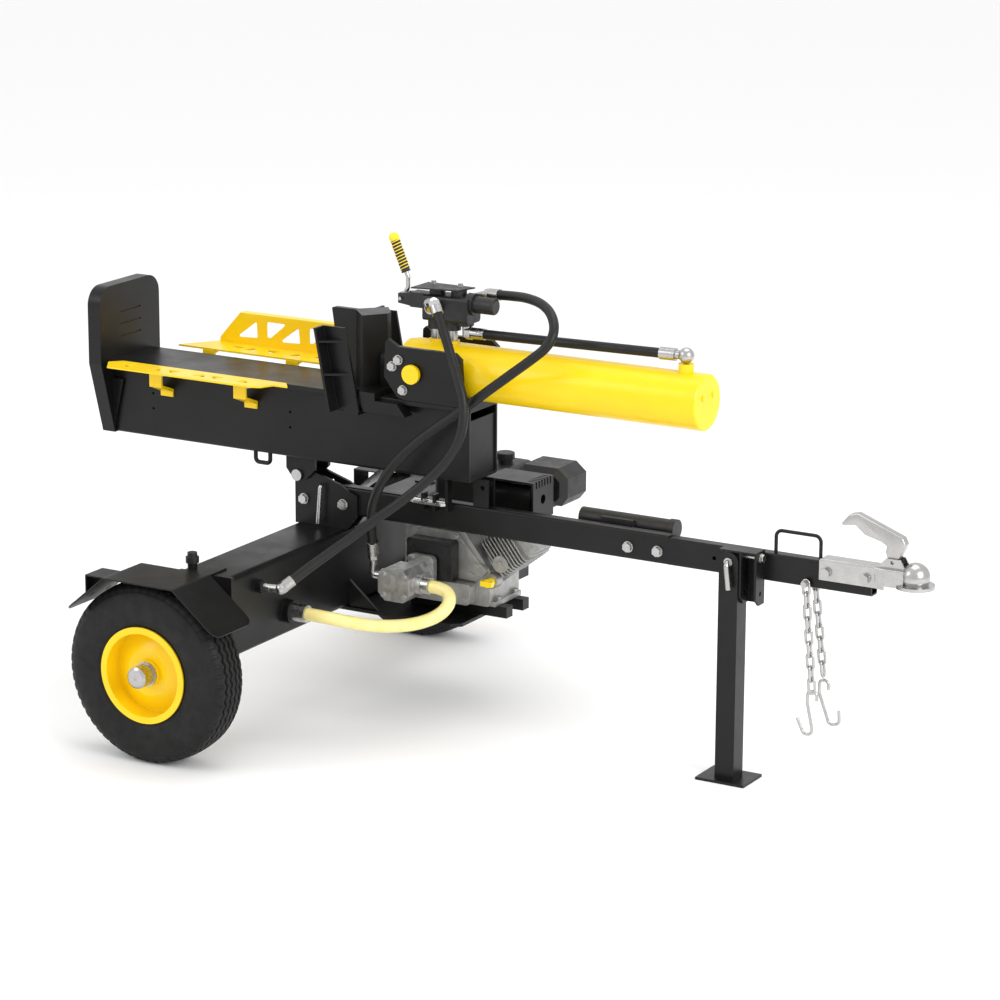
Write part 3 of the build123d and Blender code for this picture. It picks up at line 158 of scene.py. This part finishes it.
class Shader:
    """Principled material with small helpers for procedural detail."""

    def __init__(self, name, colour, metallic=0.0, roughness=0.5, coat=0.0, coat_roughness=0.1):
        self.material = bpy.data.materials.new(name)
        self.material.use_nodes = True
        self.tree = self.material.node_tree
        self.tree.nodes.clear()
        self.out = self.node("ShaderNodeOutputMaterial")
        self.bsdf = self.node("ShaderNodeBsdfPrincipled")
        self.link(self.bsdf, "BSDF", self.out, "Surface")
        self.bsdf.inputs["Base Color"].default_value = (*colour, 1.0)
        self.bsdf.inputs["Metallic"].default_value = metallic
        self.bsdf.inputs["Roughness"].default_value = roughness
        self.bsdf.inputs["Coat Weight"].default_value = coat
        self.bsdf.inputs["Coat Roughness"].default_value = coat_roughness
        self.place = self.node("ShaderNodeTexCoord")
        self.normal = None

    def node(self, kind):
        return self.tree.nodes.new(kind)

    def link(self, a, out, b, into):
        self.tree.links.new(a.outputs[out], b.inputs[into])

    def noise(self, scale, detail=4.0, rough=0.55, stretch=None):
        """Noise fixed to the object, stretched along its axes where asked."""
        texture = self.node("ShaderNodeTexNoise")
        texture.inputs["Scale"].default_value = scale
        texture.inputs["Detail"].default_value = detail
        texture.inputs["Roughness"].default_value = rough
        if stretch:
            mapping = self.node("ShaderNodeMapping")
            mapping.inputs["Scale"].default_value = stretch
            self.link(self.place, "Object", mapping, "Vector")
            self.link(mapping, "Vector", texture, "Vector")
        else:
            self.link(self.place, "Object", texture, "Vector")
        return texture

    def ramp(self, source, output, low, high, start=0.35, end=0.65):
        """Spread the middle of a texture's range from low to high."""
        spread = self.node("ShaderNodeMapRange")
        spread.inputs["From Min"].default_value = start
        spread.inputs["From Max"].default_value = end
        spread.inputs["To Min"].default_value = low
        spread.inputs["To Max"].default_value = high
        self.link(source, output, spread, "Value")
        return spread

    def vary_roughness(self, scale, low, high, stretch=None):
        """Duller and glossier patches."""
        spread = self.ramp(self.noise(scale, 5.0, 0.6, stretch), "Fac", low, high)
        self.link(spread, "Result", self.bsdf, "Roughness")
        return self

    def vary_colour(self, scale, first, second, start=0.35, end=0.65):
        """Drift between two colours in soft patches; scale is in patches to the metre."""
        spread = self.ramp(self.noise(scale, 5.0, 0.6), "Fac", 0.0, 1.0, start, end)
        mix = self.node("ShaderNodeMix")
        mix.data_type = "RGBA"
        self.link(spread, "Result", mix, "Factor")
        for socket in mix.inputs:
            if socket.type == "RGBA":
                colour = first if socket.identifier.startswith("A") else second
                socket.default_value = (*colour, 1.0)
        colour_out = [socket for socket in mix.outputs if socket.type == "RGBA"][0]
        self.tree.links.new(colour_out, self.bsdf.inputs["Base Color"])
        return self

    def soft_edges(self, radius):
        """Edges that catch the light as if rounded to this radius in metres."""
        bevel = self.node("ShaderNodeBevel")
        bevel.samples = 4
        bevel.inputs["Radius"].default_value = radius
        self.normal = bevel
        self.link(bevel, "Normal", self.bsdf, "Normal")
        return self

    def bump(self, texture, output, strength, distance):
        """Surface relief from a texture, on top of any softened edges."""
        bump = self.node("ShaderNodeBump")
        bump.inputs["Strength"].default_value = strength
        bump.inputs["Distance"].default_value = distance
        self.link(texture, output, bump, "Height")
        if self.normal:
            self.link(self.normal, "Normal", bump, "Normal")
        self.link(bump, "Normal", self.bsdf, "Normal")
        self.normal = bump
        return self


def black_paint():
    """Semi-gloss powder coat: a faint orange peel and uneven sheen."""
    paint = Shader("black_paint", (0.005, 0.005, 0.005), 0.0, 0.34).soft_edges(0.0012)
    paint.bsdf.inputs["Specular IOR Level"].default_value = 0.28
    paint.vary_colour(9.0, (0.004, 0.004, 0.004), (0.007, 0.007, 0.007))
    paint.vary_roughness(12.0, 0.30, 0.40)
    return paint.bump(paint.noise(420.0, 2.0), "Fac", 0.12, 0.0003).material


def yellow_paint():
    """Gloss enamel with slight tone changes."""
    paint = Shader("yellow_paint", (0.93, 0.62, 0.002), 0.0, 0.34, 0.25, 0.12).soft_edges(0.0012)
    paint.bsdf.inputs["Specular IOR Level"].default_value = 0.3
    paint.vary_colour(7.0, (0.91, 0.60, 0.002), (0.95, 0.65, 0.003))
    paint.vary_roughness(18.0, 0.28, 0.42)
    return paint.bump(paint.noise(300.0, 2.0), "Fac", 0.1, 0.0003).material


def tyre_rubber():
    """Matte rubber with a faint dusty bloom and fine grain."""
    rubber = Shader("tyre_rubber", (0.006, 0.006, 0.006), 0.0, 0.6)
    rubber.bsdf.inputs["Specular IOR Level"].default_value = 0.3
    rubber.vary_colour(16.0, (0.005, 0.005, 0.005), (0.009, 0.009, 0.009), 0.4, 0.75)
    rubber.vary_roughness(40.0, 0.52, 0.7)
    return rubber.bump(rubber.noise(700.0, 3.0), "Fac", 0.2, 0.0003).material


def hose_rubber():
    """Smooth cover with the faint wrap marks of its curing cloth."""
    rubber = Shader("hose_rubber", (0.006, 0.006, 0.006), 0.0, 0.42)
    rubber.bsdf.inputs["Specular IOR Level"].default_value = 0.35
    rubber.vary_roughness(60.0, 0.36, 0.5)
    return rubber.bump(rubber.noise(900.0, 2.0), "Fac", 0.2, 0.0003).material


def clear_hose():
    """Translucent pale yellow vinyl."""
    vinyl = Shader("clear_hose", (0.88, 0.76, 0.28), 0.0, 0.25, 0.2, 0.1)
    vinyl.bsdf.inputs["Subsurface Weight"].default_value = 0.5
    vinyl.bsdf.inputs["Subsurface Radius"].default_value = (0.02, 0.015, 0.005)
    vinyl.bsdf.inputs["Subsurface Scale"].default_value = 0.5
    vinyl.vary_colour(30.0, (0.86, 0.74, 0.26), (0.91, 0.81, 0.38))
    return vinyl.bump(vinyl.noise(220.0, 2.0), "Fac", 0.1, 0.0004).material


def grip_rubber():
    """Black moulded grip."""
    rubber = Shader("grip_rubber", (0.011, 0.011, 0.011), 0.0, 0.45)
    rubber.vary_roughness(60.0, 0.38, 0.6)
    return rubber.bump(rubber.noise(500.0, 2.0), "Fac", 0.25, 0.0003).material


def zinc():
    """Bright zinc plate, a little cloudy."""
    plate = Shader("zinc", (0.46, 0.455, 0.45), 1.0, 0.24).soft_edges(0.0008)
    plate.vary_colour(40.0, (0.44, 0.435, 0.43), (0.49, 0.485, 0.48))
    plate.vary_roughness(90.0, 0.2, 0.32)
    return plate.bump(plate.noise(600.0, 3.0), "Fac", 0.12, 0.0003).material


def chrome_rod():
    """Ground and chromed bar with fine lengthwise marks."""
    rod = Shader("chrome_rod", (0.7, 0.7, 0.71), 1.0, 0.12)
    return rod.vary_roughness(60.0, 0.08, 0.2, (1.0, 30.0, 30.0)).material


def cast_black():
    """Painted casting with its sand texture showing."""
    cast = Shader("cast_black", (0.007, 0.007, 0.007), 0.0, 0.42).soft_edges(0.0015)
    cast.vary_roughness(50.0, 0.34, 0.55)
    return cast.bump(cast.noise(260.0, 6.0, 0.7), "Fac", 0.4, 0.0006).material


def cast_alloy():
    """Bare die casting, dull and grainy."""
    cast = Shader("cast_alloy", (0.4, 0.4, 0.39), 0.85, 0.42).soft_edges(0.0015)
    cast.vary_colour(30.0, (0.34, 0.34, 0.33), (0.47, 0.47, 0.46))
    cast.vary_roughness(80.0, 0.32, 0.55)
    return cast.bump(cast.noise(350.0, 6.0, 0.7), "Fac", 0.4, 0.0005).material


def black_plastic():
    """Textured black moulding."""
    plastic = Shader("black_plastic", (0.008, 0.008, 0.008), 0.0, 0.45).soft_edges(0.0015)
    plastic.vary_roughness(35.0, 0.4, 0.54)
    return plastic.bump(plastic.noise(650.0, 2.0), "Fac", 0.25, 0.0004).material


def yellow_plastic():
    """Glossy yellow moulding."""
    plastic = Shader("yellow_plastic", (0.93, 0.68, 0.004), 0.0, 0.3, 0.2, 0.1)
    plastic.vary_roughness(40.0, 0.24, 0.4)
    return plastic.bump(plastic.noise(200.0, 2.0), "Fac", 0.1, 0.0003).material


MATERIALS = {"black_paint": black_paint(), "yellow_paint": yellow_paint(), "tyre_rubber": tyre_rubber(),
             "hose_rubber": hose_rubber(), "clear_hose": clear_hose(), "grip_rubber": grip_rubber(),
             "zinc": zinc(), "chrome_rod": chrome_rod(), "cast_black": cast_black(),
             "cast_alloy": cast_alloy(), "black_plastic": black_plastic(), "yellow_plastic": yellow_plastic()}

for node_name, node_object in nodes.items():
    for material_slot in node_object.material_slots:
        material_slot.material = MATERIALS[slot_of[node_name]]


def finish_piece(piece, body, slot_name, *replaced):
    """Paint a piece, let it ride on its body, if it has just one, and hide the CAD parts it stands for."""
    piece.data.materials.clear()
    piece.data.materials.append(MATERIALS[slot_name])
    if body:
        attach(piece, body)
    if replaced:
        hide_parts(*replaced)
    return piece


# ---------------------------------------------------------------- hoses

# Control points, in millimetres ahead of the axle, across and up.
RETURN_ROUTE = [(446, -102, 974), (462, -112, 950), (480, -120, 918), (498, -128, 880),
                (520, -140, 842), (542, -150, 796), (546, -162, 732), (518, -166, 672),
                (466, -170, 616), (406, -188, 562), (350, -226, 514), (302, -274, 468),
                (262, -322, 430), (229, -366, 396)]
PRESSURE_ROUTE = [(522, 40, 1000), (560, 32, 1003), (608, 10, 1008), (664, -20, 1006),
                  (708, -54, 992), (732, -84, 964), (726, -104, 932), (692, -114, 902),
                  (640, -117, 862), (582, -118, 818), (516, -118, 766), (452, -121, 720),
                  (394, -128, 674), (346, -134, 622), (310, -132, 570), (286, -122, 522),
                  (272, -106, 476), (264, -90, 444), (261, -82, 422)]
SUCTION_ROUTE = [(206, -271, 290), (240, -271, 290), (282, -253, 282), (326, -222, 270),
                 (372, -186, 264), (418, -152, 268), (454, -118, 282), (468, -88, 304),
                 (456, -68, 324), (430, -62, 332), (404, -62, 332)]


def make_hose(name, route, diameter, slot_name, node):
    """Hose between two fittings along its route, standing for its CAD node."""
    points = [at(*point) for point in route]
    piece, path = tube_along(name, points, diameter / 2)
    finish_piece(piece, None, slot_name, node)
    return piece


for hose_name, hose_route, hose_node in (("return_hose", RETURN_ROUTE, "hose_return"),
                                         ("pressure_hose", PRESSURE_ROUTE, "hose_pressure")):
    hose = make_hose(hose_name, hose_route, HOSE_DIAMETER, "hose_rubber", hose_node)
    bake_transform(hose)

suction = make_hose("suction_hose", SUCTION_ROUTE, SUCTION_DIAMETER, "clear_hose", "hose_suction")
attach(suction, "frame")


# ---------------------------------------------------------------- tyres

CROWN_HALF, CROWN_DROP, CROWN_POINTS = 0.036, 0.003, 97
TREAD_FROM = 0.186                              # radius where the tread's cuts begin
GROOVES = (-0.0255, -0.0085, 0.0085, 0.0255)
GROOVE_HALF, GROOVE_DEPTH = 0.0021, 0.0055
GROOVE_REACH, GROOVE_WALL = 1.6, 0.6            # opening and slope, in half widths of the floor
ZIGZAGS, ZIGZAG_SWING, STEPS_PER_ZIGZAG = 56, 0.0028, 16
NOTCH_END, NOTCH_SHARE, NOTCH_DEPTH = 0.0500, 0.32, 0.0022


def tyre_profile():
    """Outside of the tyre from bead to bead as (y, radius) pairs."""
    half = [(0.0500, 0.0993), (0.0496, 0.1120), (0.0528, 0.1180), (0.0548, 0.1215), (0.0545, 0.1235),
            (0.0558, 0.1290), (0.0572, 0.1400), (0.0579, 0.1520), (0.0577, 0.1620), (0.0566, 0.1720),
            (0.0548, 0.1800), (0.0530, 0.1850), (0.0518, 0.1875), (0.0505, 0.1885), (0.0490, 0.1925),
            (0.0472, 0.1960), (0.0440, 0.1992), (0.0405, 0.2020), (0.0370, 0.2040)]
    crown = [(y, TYRE_RADIUS - CROWN_DROP * (y / CROWN_HALF) ** 2)
             for y in np.linspace(CROWN_HALF, -CROWN_HALF, CROWN_POINTS)]
    return half + [(float(y), float(r)) for y, r in crown] + [(-y, r) for y, r in reversed(half)]


def tread_depth(y, turn):
    """How far the tread is cut away at a place: zigzag grooves and small shoulder notches."""
    phase = (turn * ZIGZAGS) % 1.0
    swing = ZIGZAG_SWING * (4 * abs(phase - 0.5) - 1)
    depth = 0.0
    for groove in GROOVES:
        near = abs(y - groove - swing) / GROOVE_HALF
        if near < GROOVE_REACH:
            depth = max(depth, GROOVE_DEPTH * min(1.0, (GROOVE_REACH - near) / GROOVE_WALL))
    if CROWN_HALF < abs(y) < NOTCH_END and phase < NOTCH_SHARE:
        depth = max(depth, NOTCH_DEPTH)
    return depth


def make_tyre(name, side):
    """Tyre with zigzag grooves round its crown; side is -1 near and 1 far."""
    steps = ZIGZAGS * STEPS_PER_ZIGZAG
    profile = tyre_profile()
    mesh = bpy.data.meshes.new(name)
    verts, faces = [], []
    count = len(profile)
    for step in range(steps):
        turn = step / steps
        cos_turn, sin_turn = math.cos(2 * math.pi * turn), math.sin(2 * math.pi * turn)
        for y, radius in profile:
            cut = radius - (tread_depth(y, turn) if radius > TREAD_FROM else 0.0)
            verts.append((AXLE_X + cut * cos_turn, side * WHEEL_Y + y,
                          TYRE_RADIUS + cut * sin_turn))
    for step in range(steps):
        following = (step + 1) % steps
        for row in range(count):
            onward = (row + 1) % count
            faces.append((step * count + row, step * count + onward, following * count + onward,
                          following * count + row))
    mesh.from_pydata(verts, [], faces)
    mesh.update()
    return smooth(add_object(name, mesh), 35)


for side_name, side in (("near", -1), ("far", 1)):
    finish_piece(make_tyre("treaded_tyre_" + side_name, side), "wheel_" + side_name, "tyre_rubber",
                 "tyre_" + side_name)


# ---------------------------------------------------------------- lever grip

LEVER_KNEE, GRIP_TIP = at(307, 0, 1026), at(270.5, 0, 1112)
GRIP_START = 0.012                              # from the lever's knee to the grip's lower end
GRIP_SIDES = 40
GRIP_MIDDLE, GRIP_SWELL, GRIP_SWELLS = 0.0104, 0.0006, 8
SPIRAL_TURNS, SPIRAL_STEPS, SPIRAL_MARGIN = 10, 24, 0.006
SPIRAL_RADIUS, RIB_RADIUS = 0.0106, 0.0011
BALL_RADIUS = 0.012


def make_grip():
    """Moulded grip with a yellow spiral rib and a ball on its end."""
    axis = (GRIP_TIP - LEVER_KNEE).normalized()
    across = Vector((0, 1, 0))
    other = axis.cross(across)
    start = LEVER_KNEE + axis * GRIP_START
    length = (GRIP_TIP - start).length
    profile = [(0.0, 0.0052), (0.0, 0.0095), (0.002, 0.0110)]
    profile += [(t * length, GRIP_MIDDLE + GRIP_SWELL * math.cos(t * 2 * GRIP_SWELLS * math.pi))
                for t in np.linspace(0.05, 0.95, 60)]
    profile += [(length - 0.001, 0.0108), (length, 0.0090), (length, 0.0)]
    mesh = bpy.data.meshes.new("moulded_grip")
    build = bmesh.new()
    rings = []
    for along, radius in profile:
        ring = []
        for step in range(GRIP_SIDES):
            angle = 2 * math.pi * step / GRIP_SIDES
            outward = across * math.cos(angle) + other * math.sin(angle)
            ring.append(build.verts.new(start + axis * along + outward * radius))
        rings.append(ring)
    for ring, following in zip(rings, rings[1:]):
        for step in range(GRIP_SIDES):
            onward = (step + 1) % GRIP_SIDES
            build.faces.new((ring[step], ring[onward], following[onward], following[step]))
    bmesh.ops.remove_doubles(build, verts=build.verts, dist=1e-6)
    build.to_mesh(mesh)
    build.free()
    finish_piece(smooth(add_object("moulded_grip", mesh)), "control_lever", "grip_rubber",
                 "lever_grip")
    spiral = []
    steps = SPIRAL_TURNS * SPIRAL_STEPS
    for step in range(steps + 1):
        angle = 2 * math.pi * step / SPIRAL_STEPS
        along = SPIRAL_MARGIN + (length - 2 * SPIRAL_MARGIN) * step / steps
        outward = across * math.cos(angle) + other * math.sin(angle)
        spiral.append(start + axis * along + outward * SPIRAL_RADIUS)
    rib, _ = tube_along("grip_spiral", spiral, RIB_RADIUS)
    finish_piece(rib, "control_lever", "yellow_plastic")
    ball = bpy.data.meshes.new("lever_ball")
    build = bmesh.new()
    bmesh.ops.create_uvsphere(build, u_segments=40, v_segments=24, radius=BALL_RADIUS)
    bmesh.ops.translate(build, verts=build.verts, vec=GRIP_TIP)
    build.to_mesh(ball)
    build.free()
    finish_piece(smooth(add_object("lever_ball", ball)), "control_lever", "yellow_plastic")


make_grip()


# ---------------------------------------------------------------- coupler latch

def pressed_plate(name, outline, y_low, y_high, rounding):
    """Plate standing along the machine from an outline in millimetres, its edges rounded."""
    build = bmesh.new()
    near = [build.verts.new(at(x, y_low, z)) for x, z in outline]
    face = build.faces.new(near)
    swept = bmesh.ops.extrude_face_region(build, geom=[face])
    moved = [element for element in swept["geom"] if isinstance(element, bmesh.types.BMVert)]
    bmesh.ops.translate(build, verts=moved, vec=(0, (y_high - y_low) / 1000, 0))
    bmesh.ops.recalc_face_normals(build, faces=build.faces)
    bmesh.ops.bevel(build, geom=build.edges[:], offset=rounding / 1000, segments=3, profile=0.5,
                    affect="EDGES")
    mesh = bpy.data.meshes.new(name)
    build.to_mesh(mesh)
    build.free()
    return smooth(add_object(name, mesh))


# The latch seen from the near side, and its width and rounding, in millimetres.
LATCH_OUTLINE = [(1506, 530), (1522, 530), (1530, 552), (1541, 578), (1534, 592), (1428, 632),
                 (1410, 628), (1392, 606), (1394, 602), (1424, 606), (1446, 588), (1484, 578),
                 (1498, 570), (1496, 556)]
LATCH_HALF_WIDTH, LATCH_ROUNDING = 11, 2.5

latch = pressed_plate("latch_channel", LATCH_OUTLINE, -LATCH_HALF_WIDTH, LATCH_HALF_WIDTH,
                      LATCH_ROUNDING)
finish_piece(latch, "hitch_latch", "zinc", "coupler_latch")


# ---------------------------------------------------------------- stage

FLOOR_REACH = 30.0
LIGHT_TARGET = (0.0, 0.0, 0.5)
LIGHTS = (("key", (4.6, -1.6, 2.8), 2.4, 120.0),          # name, place, side and watts
          ("fill", (-3.4, -4.0, 3.6), 2.6, 50.0),
          ("top", (0.3, 0.6, 4.6), 3.0, 50.0))


def make_stage():
    """Pale floor, white surroundings and soft lights."""
    mesh = bpy.data.meshes.new("floor")
    corners = [(x * FLOOR_REACH, y * FLOOR_REACH, 0)
               for x, y in ((-1, -1), (1, -1), (1, 1), (-1, 1))]
    mesh.from_pydata(corners, [], [(0, 1, 2, 3)])
    floor = add_object("floor", mesh)
    pale = Shader("floor", (0.95, 0.95, 0.95), 0.0, 0.8)
    pale.bsdf.inputs["Specular IOR Level"].default_value = 0.15
    floor.data.materials.append(pale.material)
    world = bpy.data.worlds.new("studio")
    bpy.context.scene.world = world
    world.use_nodes = True
    background = world.node_tree.nodes["Background"]
    background.inputs["Color"].default_value = (1.0, 1.0, 1.0, 1.0)
    background.inputs["Strength"].default_value = 1.0
    bpy.context.scene.view_settings.view_transform = "Standard"
    for name, place, size, power in LIGHTS:
        data = bpy.data.lights.new(name, "AREA")
        data.shape = "SQUARE"
        data.size = size
        data.energy = power
        lamp = bpy.data.objects.new(name, data)
        lamp.location = place
        aim = Vector(LIGHT_TARGET) - Vector(place)
        lamp.rotation_euler = aim.to_track_quat("-Z", "Y").to_euler()
        bpy.context.collection.objects.link(lamp)


make_stage()
